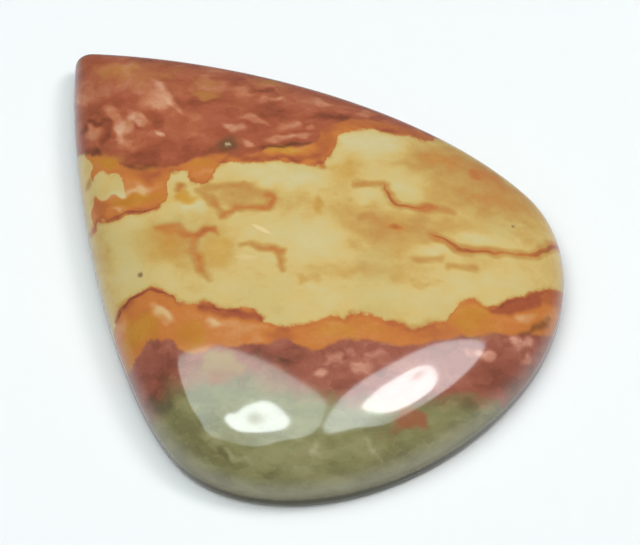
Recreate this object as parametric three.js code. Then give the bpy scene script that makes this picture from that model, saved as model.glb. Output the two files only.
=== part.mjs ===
// A picture jasper cabochon: one polished stone with a teardrop outline, a domed top, a narrow
// upright girdle, a small chamfer under it and a flat back.
//
// Frame: millimetres, +Z up. The origin is the middle of the outline's box, on the flat back.
// The point of the teardrop lies towards +Y and the wide round end towards -Y.

import * as THREE from "three";

// Driving dimensions
const LENGTH = 44; // from the round end to the point
const WIDTH = 33.4;
const HEIGHT = 7.5; // from the flat back to the crown
const GIRDLE_TOP = 1.2; // where the upright edge ends and the dome starts
const CHAMFER = 0.4; // under the girdle, in and up alike

// The outline, cut by hand, so its two sides differ a little. A reach is how far a side runs on
// nearly straight before it turns, as the length of a Bezier handle.
const ROUND_END = { x: 0.6, reach: 9.65 };
const RIGHT_SIDE = { widestY: -10.2, reachDown: 5.8, reachUp: 10.9, pointReach: 10.9, pointAngle: 46 };
const LEFT_SIDE = { widestY: -9.9, reachDown: 6.2, reachUp: 7.5, pointReach: 9.9, pointAngle: 43 };
const POINT = { x: 0.2, radius: 0.9 };
const POINT_CENTRE_Y = LENGTH / 2 - POINT.radius;

// The dome
const CROWN = new THREE.Vector2(0, -5.5); // the highest spot, seen from above
const CROWN_WIDTH = 30; // the level lines near the crown are ellipses of this shape
const CROWN_LENGTH = 37;
const ROUNDING = 1.4; // how soon the level lines turn from the outline into those ellipses

// Facets: along each side of the round end, along each side above it, along each half of the
// point's arc, and rings from the girdle to the crown
const ROUND_END_FACETS = 28;
const SIDE_FACETS = 30;
const POINT_FACETS = 4;
const DOME_RINGS = 22;

const JASPER_COLOUR = 0xc2a062;

// Where one side meets the point's arc, and the direction in which it arrives there. side is 1 or -1.
function pointTangent({ pointAngle }, side) {
  const angle = THREE.MathUtils.degToRad(pointAngle);
  const out = new THREE.Vector2(side * Math.cos(angle), Math.sin(angle));
  const arrival = new THREE.Vector2(-side * Math.sin(angle), Math.cos(angle));
  const meet = new THREE.Vector2(POINT.x, POINT_CENTRE_Y).addScaledVector(out, POINT.radius);
  return { meet, arrival };
}

// One side's two curves, from the middle of the round end to the point's arc.
function sideCurves(form, side) {
  const widest = new THREE.Vector2((side * WIDTH) / 2, form.widestY);
  const roundEnd = new THREE.Vector2(ROUND_END.x, -LENGTH / 2);
  const { meet, arrival } = pointTangent(form, side);
  return [
    new THREE.CubicBezierCurve(
      roundEnd,
      roundEnd.clone().add(new THREE.Vector2(side * ROUND_END.reach, 0)),
      widest.clone().sub(new THREE.Vector2(0, form.reachDown)),
      widest,
    ),
    new THREE.CubicBezierCurve(
      widest,
      widest.clone().add(new THREE.Vector2(0, form.reachUp)),
      meet.clone().addScaledVector(arrival, -form.pointReach),
      meet,
    ),
  ];
}

// One half of the point's arc, between two angles in degrees.
function pointArc(from, to) {
  const [start, end] = [from, to].map(THREE.MathUtils.degToRad);
  return new THREE.EllipseCurve(POINT.x, POINT_CENTRE_Y, POINT.radius, POINT.radius, start, end);
}

// Points of a curve without its last one, which the next curve starts with.
function pointsAlong(curve, count, backwards = false) {
  const points = curve.getSpacedPoints(count);
  return (backwards ? points.reverse() : points).slice(0, -1);
}

// The closed outline, counter-clockwise seen from above, from the middle of the round end.
function outlinePoints() {
  const [lowRight, highRight] = sideCurves(RIGHT_SIDE, 1);
  const [lowLeft, highLeft] = sideCurves(LEFT_SIDE, -1);
  return [
    ...pointsAlong(lowRight, ROUND_END_FACETS),
    ...pointsAlong(highRight, SIDE_FACETS),
    ...pointsAlong(pointArc(RIGHT_SIDE.pointAngle, 90), POINT_FACETS),
    ...pointsAlong(pointArc(90, 180 - LEFT_SIDE.pointAngle), POINT_FACETS),
    ...pointsAlong(highLeft, SIDE_FACETS, true),
    ...pointsAlong(lowLeft, ROUND_END_FACETS, true),
  ];
}

// A level line of the dome, from 1 at the girdle to near 0 at the crown.
function levelLine(outline, level) {
  const likeOutline = 1 - (1 - level) ** ROUNDING;
  return outline.map((point) => {
    const spoke = point.clone().sub(CROWN);
    const direction = spoke.clone().normalize();
    const toEllipse = 1 / Math.hypot(direction.x / (CROWN_WIDTH / 2), direction.y / (CROWN_LENGTH / 2));
    const toOutline = spoke.length();
    const reach = level * THREE.MathUtils.lerp(toEllipse, toOutline, likeOutline);
    return CROWN.clone().addScaledVector(direction, reach);
  });
}

function atHeight(line, height) {
  return line.map((point) => new THREE.Vector3(point.x, point.y, height));
}

// The outline moved inwards by a distance that is small beside the stone.
function insetLine(outline, distance) {
  return outline.map((point, i) => {
    const before = outline[(i + outline.length - 1) % outline.length];
    const after = outline[(i + 1) % outline.length];
    const along = after.clone().sub(before).normalize();
    return new THREE.Vector2(point.x - along.y * distance, point.y + along.x * distance);
  });
}

// The rings from the back's edge up over the girdle to the last one under the crown.
function stoneRings(outline) {
  const rings = [
    atHeight(insetLine(outline, CHAMFER), 0),
    atHeight(outline, CHAMFER),
    atHeight(outline, GIRDLE_TOP),
  ];
  // Equal steps of this angle make a quarter ellipse of the dome's section, with its rings close
  // together on the steep shoulder.
  for (let i = 1; i < DOME_RINGS; i += 1) {
    const angle = (i / DOME_RINGS) * (Math.PI / 2);
    const height = GIRDLE_TOP + (HEIGHT - GIRDLE_TOP) * Math.sin(angle);
    rings.push(atHeight(levelLine(outline, Math.cos(angle)), height));
  }
  return rings;
}

// One closed surface through the rings, with a fan to a middle point at each end.
function closedLoft(rings, bottom, top) {
  const around = rings[0].length;
  const points = [bottom, ...rings.flat(), top];
  const topIndex = points.length - 1;
  const at = (ring, i) => 1 + ring * around + (i % around);
  const faces = [];
  for (let i = 0; i < around; i += 1) {
    faces.push(0, at(0, i + 1), at(0, i));
    for (let ring = 0; ring + 1 < rings.length; ring += 1) {
      faces.push(at(ring, i), at(ring, i + 1), at(ring + 1, i + 1));
      faces.push(at(ring, i), at(ring + 1, i + 1), at(ring + 1, i));
    }
    faces.push(at(rings.length - 1, i), at(rings.length - 1, i + 1), topIndex);
  }
  const geometry = new THREE.BufferGeometry().setFromPoints(points);
  geometry.setIndex(faces);
  geometry.computeVertexNormals();
  return geometry;
}

function jasperStone() {
  const outline = outlinePoints();
  const bottom = new THREE.Vector3(CROWN.x, CROWN.y, 0);
  const top = new THREE.Vector3(CROWN.x, CROWN.y, HEIGHT);
  const polishedJasper = new THREE.MeshStandardMaterial({
    color: JASPER_COLOUR,
    roughness: 0.12,
    metalness: 0,
  });
  const stone = new THREE.Mesh(closedLoft(stoneRings(outline), bottom, top), polishedJasper);
  stone.name = "jasper_stone";
  return stone;
}

const cabochon = new THREE.Group();
cabochon.add(jasperStone());

export default cabochon;
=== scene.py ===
"""Looks of a picture jasper cabochon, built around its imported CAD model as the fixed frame.

The stone rests on a pale studio floor. Everything is in metres, in the frame of the CAD, apart from
the pattern, whose places are in millimetres: along the bands and across them.
"""

import math
import random

import bmesh
import bpy
import numpy as np
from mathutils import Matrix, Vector


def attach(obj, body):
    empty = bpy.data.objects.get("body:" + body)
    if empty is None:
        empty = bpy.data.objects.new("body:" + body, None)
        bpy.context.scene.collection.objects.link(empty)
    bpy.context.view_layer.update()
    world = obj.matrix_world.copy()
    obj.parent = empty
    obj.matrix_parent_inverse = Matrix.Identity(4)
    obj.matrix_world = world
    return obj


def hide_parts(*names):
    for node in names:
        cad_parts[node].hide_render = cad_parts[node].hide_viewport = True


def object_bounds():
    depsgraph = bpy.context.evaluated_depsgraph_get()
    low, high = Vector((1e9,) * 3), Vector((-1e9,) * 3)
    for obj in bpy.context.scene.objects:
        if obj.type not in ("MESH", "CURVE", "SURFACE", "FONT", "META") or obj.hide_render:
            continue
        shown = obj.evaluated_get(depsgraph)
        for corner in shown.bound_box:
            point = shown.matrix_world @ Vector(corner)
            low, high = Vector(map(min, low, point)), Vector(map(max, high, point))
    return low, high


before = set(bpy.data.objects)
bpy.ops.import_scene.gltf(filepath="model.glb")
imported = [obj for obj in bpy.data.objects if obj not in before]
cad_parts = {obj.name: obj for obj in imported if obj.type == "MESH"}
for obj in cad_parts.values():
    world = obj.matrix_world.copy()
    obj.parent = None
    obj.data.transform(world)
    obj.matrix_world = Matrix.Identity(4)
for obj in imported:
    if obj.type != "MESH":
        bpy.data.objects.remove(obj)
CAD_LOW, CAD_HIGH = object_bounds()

bl_info = {
    "name": "Picture jasper cabochon",
    "version": (1, 0, 0),
    "blender": (4, 5, 0),
    "location": "3D View > Sidebar > Jasper",
    "description": "Builds a polished teardrop cabochon of banded picture jasper and its studio",
    "category": "Object",
}

MM = 0.001
CAD_SIZE = CAD_HIGH - CAD_LOW

# --- the cut of the stone, in millimetres --------------------------------------------------------

ROUND_END = {"x": 0.6, "reach": 9.65}
RIGHT_SIDE = {"widest": -10.2, "down": 5.8, "up": 10.9, "point_reach": 10.9, "point_angle": 46}
LEFT_SIDE = {"widest": -9.9, "down": 6.2, "up": 7.5, "point_reach": 9.9, "point_angle": 43}
POINT_X = 0.2
POINT_RADIUS = 0.9
CROWN = np.array((0.0, -5.5))
CROWN_WIDTH, CROWN_LENGTH = 30.0, 37.0
ROUNDING = 1.4  # how soon the level lines turn from the outline into the crown's ellipses
RIDGE_BLUR = 44  # over how many outline points the ridge to the point is rounded, near the crown
CURVE_STEPS = 400  # per Bezier curve, before the outline is spaced out evenly
OUTLINE_POINTS = 620
DOME_RINGS = 112
RING_EVENNESS = 0.65  # 0 puts the rings at even steps of angle, 1 at even steps of length
# The flat back's rings, as shares of the way from the crown's foot to the back's edge
BACK_RINGS = (0.06, 0.13, 0.2, 0.28, 0.36, 0.44, 0.52, 0.6, 0.67, 0.74, 0.81, 0.87, 0.925, 0.97)
# The worn edges of the chamfer: each is (inset, height) as shares of the chamfer's size
WORN_EDGES = (
    (1.25, 0.0), (1.1, 0.015), (0.96, 0.075), (0.83, 0.19), (0.19, 0.83), (0.06, 0.97), (0.0, 1.13),
)
GIRDLE_RINGS = (0.35, 0.7, 1.0)  # shares of the way up from the chamfer to the girdle's top
DOME_SPAN = 2.3  # the rings are spaced as if the dome reached the stone's length over this
CHAMFER_WAVER = 0.16  # the hand-ground chamfer is up to this share narrower in places
CHAMFER_WAVES = ((-0.3, 3, 1.1), (-0.2, 7, 2.6))  # each (height, how many round the stone, phase)
POLISH_WAVE = 0.006  # how deep the polishing wheel left its soft waves
POLISH_WAVE_LENGTH = 7.0
POLISH_WAVE_SPREAD = (0.7, 1.4)  # how much shorter or longer than that they are
POLISH_WAVES = 5
POLISH_WAVE_RISE = 0.25  # at this share of the dome's height they reach their full depth
POLISH_SEED = 11

# --- the pattern ---------------------------------------------------------------------------------

# The bands run at this slant to the stone's width, and lean over as they go down through it.
BAND_SLANT = -41.4
LEAN_ALONG, LEAN_ACROSS = 0.15, 0.30  # millimetres of shift per millimetre of height

# The borders of the bands are drawn within this window, as a height across the bands over each
# place along them.
ALONG_FROM, ALONG_TO = -16.0, 24.0
ACROSS_FROM, ACROSS_TO = -24.0, 20.0

# Lower edge of the red breccia near the point
RED_FOOT = (
    (-16, 8.2), (-13.3, 7.6), (-12, 7.0), (-10.4, 6.3), (-9.5, 5.4), (-8.4, 5.0), (-6.7, 4.85),
    (-5.2, 5.0), (-4.2, 5.5), (-2.4, 5.7), (-1, 5.6), (0.7, 5.8), (1.2, 6.3), (4.2, 6.65), (4.8, 7.4),
    (5.3, 8.6), (6.1, 9.3), (7.8, 9.6), (9.5, 9.5), (11.3, 9.35), (12.6, 8.9), (14, 8.6), (24, 8),
)
# Upper and lower edge of the cream layer
CREAM_TOP = (
    (-16, 3.3), (-13, 3.3), (-8.6, 3.4), (-6.2, 3.4), (-5.9, 4.3), (-5.2, 4.5), (-4.7, 4.3),
    (-4.35, 3.5), (-3, 3.4), (-2.5, 4.4), (-2, 4.95), (0, 5.05), (3.2, 4.95), (4.6, 4.6), (5.2, 4.9),
    (5.7, 6.0), (5.95, 6.8), (6.3, 7.75), (7, 8.3), (8.2, 8.6), (9.4, 8.5), (11.6, 8.2), (12.6, 8.1),
    (13.2, 9.5), (14, 12), (24, 14),
)
CREAM_FOOT = (
    (-16, -8.5), (-10.5, -7.9), (-10, -7.1), (-9.7, -6.4), (-8.9, -5.8), (-7.3, -5.25), (-6.3, -5.45),
    (-5.5, -6.0), (-4.9, -6.65), (-4.3, -6.85), (-2.8, -6.8), (-2, -7.3), (0.1, -7.5), (0.7, -7.9),
    (1.3, -8.5), (2, -8.9), (3.2, -8.9), (4.9, -8.4), (5.9, -8.15), (6.7, -8.4), (7.3, -7.95),
    (8.8, -8.2), (10.5, -8.7), (11.7, -8.95), (12.6, -8.5), (13.8, -8.2), (14.1, -7.3), (14.7, -6.7),
    (15.5, -6.4), (16.3, -6.85), (17.2, -6.7), (17.8, -6.1), (19, -5.6), (20.3, -4.8), (21.5, -4.5),
    (24, -4),
)
# Lower edge of the orange layer, and of the brick-red layer under it
ORANGE_FOOT = (
    (-16, -11), (-9.3, -11.2), (-8.6, -10.5), (-7.6, -9.5), (-6.2, -9.35), (-5.5, -9.6), (-5, -10.4),
    (-3.6, -10.7), (-2.4, -10.3), (-1.2, -10.4), (1.1, -10.3), (2.6, -10.0), (3.4, -10.4), (4.5, -10.8),
    (5.7, -10.3), (8, -10.0), (10.7, -10.4), (12, -10.1), (14.5, -9.35), (16.1, -9.1), (17.6, -8.8),
    (19, -8.5), (20.1, -8.3), (21, -7.8), (24, -7),
)
BRICK_FOOT = (
    (-16, -16.5), (-9, -15.3), (-7.5, -14.6), (-6, -13.6), (-4, -12.8), (-2, -12.3), (0, -12.7),
    (1.5, -13.3), (3, -13.8), (5.3, -14.4), (7, -14.7), (9, -14.9), (11, -14.8), (12.4, -14.3),
    (16, -13.8), (17.5, -13.5), (20, -12.8), (24, -12),
)
# Lower edge of the ochre tongue that runs into the cream from the left; its end is steep
TONGUE_FOOT = (
    (-16, 0.2), (-12.2, 0.5), (-11.6, 1.2), (-10.3, 1.0), (-9, 1.3), (-7.6, 1.2), (-6.6, 1.4),
    (-6.2, 2.2), (-6.0, 4.5), (-5.6, 12), (24, 16),
)

# Cracks, each through (along, across, half its width). Rust has soaked into the stone beside them,
# and below a width of 0 only that stain is left.
CRACKS = (
    ((7.4, 3.0, -0.1), (8.6, 3.1, -0.03), (9.55, 3.2, 0.03), (9.7, 2.4, 0.09), (10.1, 1.6, 0.12),
     (10.5, 1.15, 0.1), (11.5, 1.1, 0.06), (12.6, 1.15, 0.02), (13.2, 1.2, -0.15)),
    ((12.6, -1.2, -0.05), (13.3, -1.4, 0.08), (14.3, -1.9, 0.11), (14.8, -2.4, 0.12), (15.5, -2.45, 0.12),
     (18.4, -2.2, 0.1), (19.7, -2.2, 0.14), (20.2, -1.7, 0.15), (21.0, -0.9, 0.16), (21.8, -0.3, 0.12)),
    ((-12.3, 0.4, -0.15), (-11.6, 1.3, 0.12), (-10.4, 1.0, 0.16), (-9.3, 1.3, 0.16), (-7.8, 1.3, 0.1),
     (-6.8, 1.4, -0.03)),
    ((-10.1, -7.2, 0.16), (-9.7, -6.4, 0.16), (-8.9, -5.85, 0.14), (-7.3, -5.35, 0.12), (-6.3, -5.55, 0.08),
     (-5.5, -6.15, 0.0)),
)
CRACK_REACH = 0.8  # how far beside a crack its stain can show
# This far beside a crack's edge its width starts to shrink, by so much per millimetre
CRACK_SIDE, CRACK_FADE = 0.2, 2
NO_CRACK = 9.0  # the distance where no crack is near

# Soft strokes of rust in the cream: how much iron they reach, then (along, across, half width)
# along the stroke
STAINS = (
    # the branching stain on the left
    (0.71, (-6.7, -0.2, 0.3), (-5.4, -0.6, 0.5), (-4.6, -1.05, 0.35), (-3.9, -1.2, 0.3)),
    (0.82, (-3.9, -1.15, 0.25), (-3.2, -0.8, 0.35), (-2.7, -0.8, 0.3), (-2.3, -1.4, 0.1)),
    (0.66, (-4.0, -1.3, 0.3), (-4.05, -2.4, 0.35), (-3.7, -3.15, 0.5), (-3.3, -4.2, 0.35),
     (-2.9, -5.0, 0.2)),
    (0.8, (-3.9, -2.9, 0.15), (-3.6, -3.3, 0.3)),
    # the loop over it
    (0.62, (-3.6, 2.6, 0.4), (-2.2, 2.85, 0.3), (-0.6, 2.9, 0.3), (0.2, 2.45, 0.3), (1.2, 2.0, 0.3)),
    (0.76, (1.2, 2.0, 0.2), (1.7, 1.6, 0.25), (1.4, 0.95, 0.3), (0.1, 0.85, 0.25), (-1.0, 0.85, 0.2)),
    (0.76, (-1.0, 0.85, 0.2), (-1.8, 0.3, 0.35)),
    (0.68, (-3.3, 2.3, 0.3), (-2.7, 1.5, 0.3), (-2.1, 0.8, 0.25), (-1.8, 0.3, 0.3)),
    # the bend under it
    (0.66, (-0.5, -2.3, 0.2), (0.7, -2.4, 0.3), (1.9, -2.7, 0.3)),
    (0.7, (1.6, -2.6, 0.25), (2.25, -3.1, 0.35), (2.35, -4.3, 0.25)),
    # beside the two long cracks
    (0.58, (7.6, 3.05, 0.25), (9.6, 3.15, 0.35), (9.8, 2.3, 0.3), (10.4, 1.3, 0.3)),
    (0.62, (10.6, 1.1, 0.2), (11.8, 1.05, 0.3), (13.0, 1.1, 0.38), (14.1, 1.0, 0.38)),
    (0.58, (12.8, -1.3, 0.3), (14.6, -2.3, 0.4), (19.8, -2.2, 0.3), (20.5, -1.3, 0.4), (21.8, -0.3, 0.4)),
    # a spot in the pale strip on the left
    (0.72, (-12.6, 4.4, 0.15), (-12.4, 5.1, 0.2)),
    # two bars
    (0.59, (11.6, -3.45, 0.26), (13.3, -3.3, 0.26)),
    (0.63, (13.9, -3.85, 0.26), (15.6, -3.85, 0.28)),
    # rust along the foot of the cream
    (0.74, (-3.4, -7.3, 0.3), (-2.2, -7.65, 0.35), (-0.6, -7.95, 0.35), (0.8, -8.3, 0.25)),
    (0.75, (16.7, -7.25, 0.25), (17.7, -6.85, 0.5), (18.6, -6.35, 0.6), (19.5, -5.95, 0.5),
     (20.2, -5.6, 0.2)),
    (0.6, (19.6, -5.7, 0.4), (21.2, -5.2, 0.5)),
)
STAIN_BLUR, SEAM_BLUR = 0.5, 0.3  # over how many millimetres a stroke's edge falls off
# Dark seams of iron and manganese, each an amount and then (along, across, half width)
DARK_SEAMS = (
    (1.0, (0.9, 6.42, 0.02), (2.0, 6.52, 0.13), (3.2, 6.68, 0.14), (4.3, 6.95, 0.04)),
    (0.5, (-12.9, 7.7, 0.2), (-12.1, 7.4, 0.3), (-11.5, 7.0, 0.1)),
    (0.4, (-9.6, 5.55, 0.1), (-8.6, 5.15, 0.2), (-7.6, 5.05, 0.2), (-6.8, 5.0, 0.05)),
    (0.3, (-12.5, 4.4, 0.12), (-12.35, 4.95, 0.12)),
    (0.25, (-10.0, -7.1, 0.05), (-9.8, -6.5, 0.15), (-9.3, -6.1, 0.1), (-8.6, -5.85, 0.0)),
    (0.6, (18.4, -8.7, 0.02), (19.0, -8.4, 0.14), (19.9, -7.8, 0.24), (20.6, -7.0, 0.2)),
    (0.25, (14.0, -2.2, 0.0), (14.5, -2.25, 0.06), (15.6, -2.5, 0.03)),
    (0.4, (19.9, -2.0, 0.0), (20.3, -1.65, 0.08), (21.0, -0.95, 0.1), (21.5, -0.6, 0.03)),
    (0.35, (-3.4, 6.05, 0.1), (-2.4, 6.4, 0.35)),
    (0.3, (-6.8, 12.9, 0.02), (-6.1, 11.9, 0.14), (-5.6, 10.9, 0.12), (-5.1, 10.2, 0.02)),
)

# Ovals that add to a field of the stone, each (along, across, half length, half width, turn in
# degrees, amount).
# Iron oxide in the cream and the orange layer
IRON_OVALS = (
    # bleached places in the cream
    (2.0, 3.9, 3.4, 1.0, 0, -0.2), (8.6, 7.2, 2.7, 1.2, -8, -0.24), (11.2, 3.2, 1.3, 1.5, -20, -0.2),
    (-4.2, 1.2, 0.8, 0.8, 20, -0.26), (4.5, -1.8, 3.8, 1.8, -8, -0.12), (-5.3, 3.9, 0.6, 0.5, 0, -0.16),
    (12.8, -2.6, 0.9, 0.55, 0, -0.18), (-10.0, -4.2, 1.8, 1.4, 0, -0.1), (4.0, -6.4, 5.0, 1.2, 0, -0.08),
    (13.0, -6.4, 3.2, 1.2, 5, -0.12), (17.5, -4.6, 3.0, 0.7, 8, -0.1),
    (8.3, 2.0, 0.9, 0.6, 0, -0.15), (17.4, 0.7, 2.4, 0.8, -4, 0.05), (18.6, 0.5, 0.7, 0.3, 0, -0.1),
    (6.0, 5.4, 0.7, 0.6, 0, -0.15), (6.5, -3.6, 1.2, 0.8, 0, -0.06), (15.5, -1.3, 1.8, 0.5, 0, -0.12),
    (-1.3, 4.2, 1.6, 0.7, 0, -0.05),
    # golden places in the cream
    (-7.0, -1.4, 1.6, 1.6, -20, 0.13), (-5.2, -2.0, 1.2, 1.5, 0, 0.16), (-2.2, -2.5, 1.4, 1.8, 0, 0.18),
    (17.0, -0.4, 3.2, 0.5, -8, 0.1), (6.8, 4.3, 1.3, 1.5, 0, 0.13), (-0.7, 1.75, 2.3, 0.9, 0, 0.27),
    (9.0, -4.2, 3.0, 1.0, 0, 0.1), (-11.1, -2.7, 0.8, 3.2, 12, 0.2), (4.6, 1.3, 2.2, 1.2, 0, 0.12),
    (-1.3, 3.7, 1.0, 0.6, 0, 0.1), (5.5, -4.5, 2.5, 0.8, 5, 0.08), (-3.6, 0.3, 1.3, 0.7, 0, 0.14),
    # tan places in the cream
    (14.8, 4.4, 4.4, 2.4, -28, 0.21), (17.2, 3.0, 2.8, 1.8, -35, 0.1), (13.6, 2.4, 2.4, 1.2, 0, 0.12),
    (8.2, -0.4, 2.3, 1.6, -10, 0.16), (9.8, -1.9, 3.0, 1.3, 5, 0.19), (12.0, -0.4, 2.8, 1.1, -8, 0.18),
    (-6.0, -1.7, 2.2, 1.6, -10, 0.04), (12.6, 5.6, 1.8, 1.3, 0, 0.1), (18.5, 3.6, 2.4, 3.0, -10, 0.05),
    (18.0, -3.8, 3.4, 1.4, 6, 0.06), (7.0, -5.8, 3.0, 1.4, 0, 0.03), (20.2, 0.4, 1.0, 1.6, 0, 0.06),
    (4.95, 1.3, 0.3, 0.8, 10, 0.17), (13.8, 6.2, 2.2, 0.8, -10, 0.1), (16.8, 5.4, 2.4, 1.0, -35, 0.1),
    (4.1, -5.35, 0.5, 0.4, 0, 0.2), (12.8, -5.4, 1.3, 0.3, 0, 0.12), (19.5, 2.0, 1.6, 1.4, -50, 0.10),
    # orange places in the cream
    (15.8, 4.65, 0.35, 0.4, 0, 0.12), (10.3, -0.85, 0.28, 0.22, 0, 0.24), (-4.7, 1.95, 0.8, 0.5, 0, 0.5),
    (5.1, 4.75, 0.4, 0.3, 0, 0.25), (-5.0, 2.95, 0.5, 0.38, 0, 0.42), (8.1, 0.2, 0.6, 0.3, 0, 0.1),
    # light places in the orange
    (18.8, -7.15, 0.8, 0.45, 15, -0.25), (-2.2, -8.5, 0.7, 0.3, -8, -0.25),
    (-0.3, -9.1, 1.6, 0.5, 5, -0.08), (-6.4, -7.3, 0.9, 0.4, -40, -0.36),
    (0.7, -9.9, 0.6, 0.3, 0, -0.12), (8.7, -8.7, 0.6, 0.3, 0, -0.12), (2.6, 6.2, 1.5, 0.25, 2, -0.1),
    (-3.4, 4.2, 1.0, 0.5, 0, -0.1), (-9.8, -7.6, 0.7, 0.8, 0, -0.2),
    (-10.0, 1.75, 1.1, 0.25, -4, -0.24), (-9.0, 3.15, 1.8, 0.35, 3, -0.27),
    # rusty places in the orange
    (2.3, -9.6, 0.9, 0.8, 0, 0.26), (12.3, -9.2, 1.9, 0.7, 5, 0.2),
    (-6.9, 4.5, 1.2, 0.6, 0, 0.2), (5.4, 7.4, 0.7, 2.4, -10, 0.34), (0.0, 5.4, 2.4, 0.35, 0, 0.34),
    (-9.2, -6.3, 0.8, 0.5, 30, 0.2), (9.5, 9.1, 3.4, 0.6, -5, 0.3),
    (3.4, 5.5, 1.6, 0.3, 0, 0.3), (-11.4, 2.4, 1.2, 0.4, -35, 0.2), (-8.2, 4.6, 1.4, 0.5, -25, 0.16),
)
# Ochre: golden in the cream, yellow in the orange and the red, brown in the olive
OCHRE_OVALS = (
    (-7.0, -1.5, 1.5, 1.6, 0, 0.5), (-2.3, -2.5, 1.0, 1.6, -15, 0.55), (-3.8, 0.2, 1.0, 0.6, 0, 0.4),
    (6.7, 4.3, 0.9, 1.3, 0, 0.5), (4.9, 1.0, 0.5, 0.9, 0, 0.5), (10.4, -0.5, 0.9, 0.8, 0, 0.4),
    (-5.2, -2.2, 1.1, 1.4, 0, 0.4), (13.6, 6.0, 1.8, 0.8, 0, 0.35), (-2.5, 3.6, 0.8, 0.9, 0, 0.3),
    (-8.2, 2.35, 2.1, 0.55, 0, 1.0), (-8.0, -8.3, 1.6, 1.1, 15, 1.0), (-4.2, -9.2, 1.0, 1.2, 0, 0.8),
    (15.2, -7.9, 1.6, 1.3, 0, 0.7), (-11.0, 6.2, 1.2, 0.7, -10, 0.9), (2.6, 6.2, 1.6, 0.3, 2, 0.9),
    (6.6, -9.2, 2.2, 0.8, 0, 0.5), (-3.4, 5.0, 1.0, 0.5, 0, 0.5), (-4.7, 1.95, 0.9, 0.55, 0, 1.2),
    (-3.5, 11.6, 1.0, 0.35, 0, 0.8), (-3.4, 12.8, 1.3, 1.1, 0, 0.45), (-9.0, 14.2, 4.5, 1.8, -8, 0.4),
    (0.3, 13.7, 1.0, 0.5, -15, 0.6), (1.5, 13.3, 0.9, 0.4, -20, 0.5), (-9.6, 9.2, 0.6, 0.6, 0, 0.5),
    (-8.1, 5.2, 1.4, 0.3, 0, 0.5), (-10.5, 14.8, 1.5, 0.5, 0, 0.4), (10.8, -15.7, 1.1, 0.6, 25, 1.3),
    (-8.2, -14.6, 0.5, 0.8, 20, 0.4), (-2.2, -11.8, 1.1, 1.1, 0, 0.9), (-1.9, -12.2, 3.0, 1.3, 0, 0.3),
    (-9.0, -10.2, 0.5, 1.2, 0, 0.6), (9.0, -17.0, 1.2, 0.6, 0, 0.3),
)
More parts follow.
